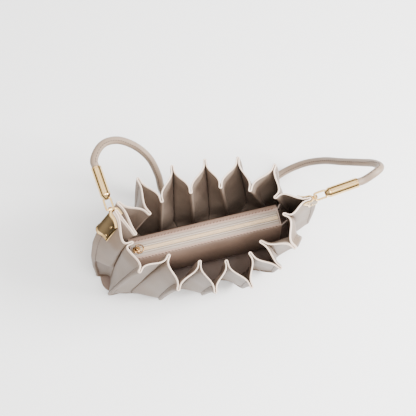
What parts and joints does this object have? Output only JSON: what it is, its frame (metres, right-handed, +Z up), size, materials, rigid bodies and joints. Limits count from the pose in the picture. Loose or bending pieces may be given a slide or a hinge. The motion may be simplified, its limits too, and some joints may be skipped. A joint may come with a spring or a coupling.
{
  "type": "accordion handbag",
  "caption": "Pleated leather handbag with an open fan-shaped mouth, an inner zipped pocket, metal end clips and a rolled strap.",
  "frame": {"origin": "middle of the bottom panel's underside, on the surface that the bag stands on", "axes": "+X along the bag towards the end whose strap tube points away from it, +Y to the bag's back, +Z up"},
  "size_m": [0.4173, 0.2548, 0.1871],
  "materials": {
    "bag_leather": "satin smooth",
    "strap_leather": "satin smooth",
    "pocket_leather": "satin smooth",
    "brown_leather": "satin smooth",
    "zip_tape": "woven",
    "zip_coil": "satin",
    "pale_gold": "polished",
    "dark_gold": "polished"
  },
  "bodies": {
    "bag": {"pleated_wall": "bag_leather", "bottom_panel": "brown_leather", "zip_pocket": "pocket_leather", "zip_tape_front": "zip_tape", "zip_tape_back": "zip_tape", "zip_coil": "zip_coil", "zip_slider": "dark_gold", "left_front_tab": "brown_leather", "left_back_tab": "brown_leather", "right_front_tab": "brown_leather", "right_back_tab": "brown_leather", "left_clip": "pale_gold", "left_screw_upper": "pale_gold", "left_screw_lower": "pale_gold", "left_tube": "pale_gold", "right_clip": "pale_gold", "right_screw_upper": "pale_gold", "right_screw_lower": "pale_gold", "right_tube": "pale_gold", "strap": "strap_leather"},
    "pull": {"zip_pull": "dark_gold"}
  },
  "joints": [
    {"name": "pull_hinge", "type": "hinge", "parent": "bag", "child": "pull", "pos_m": [-0.0986, 0.0015, 0.13653], "axis": [0, -1, 0], "range_deg": [0, 170]}
  ]
}
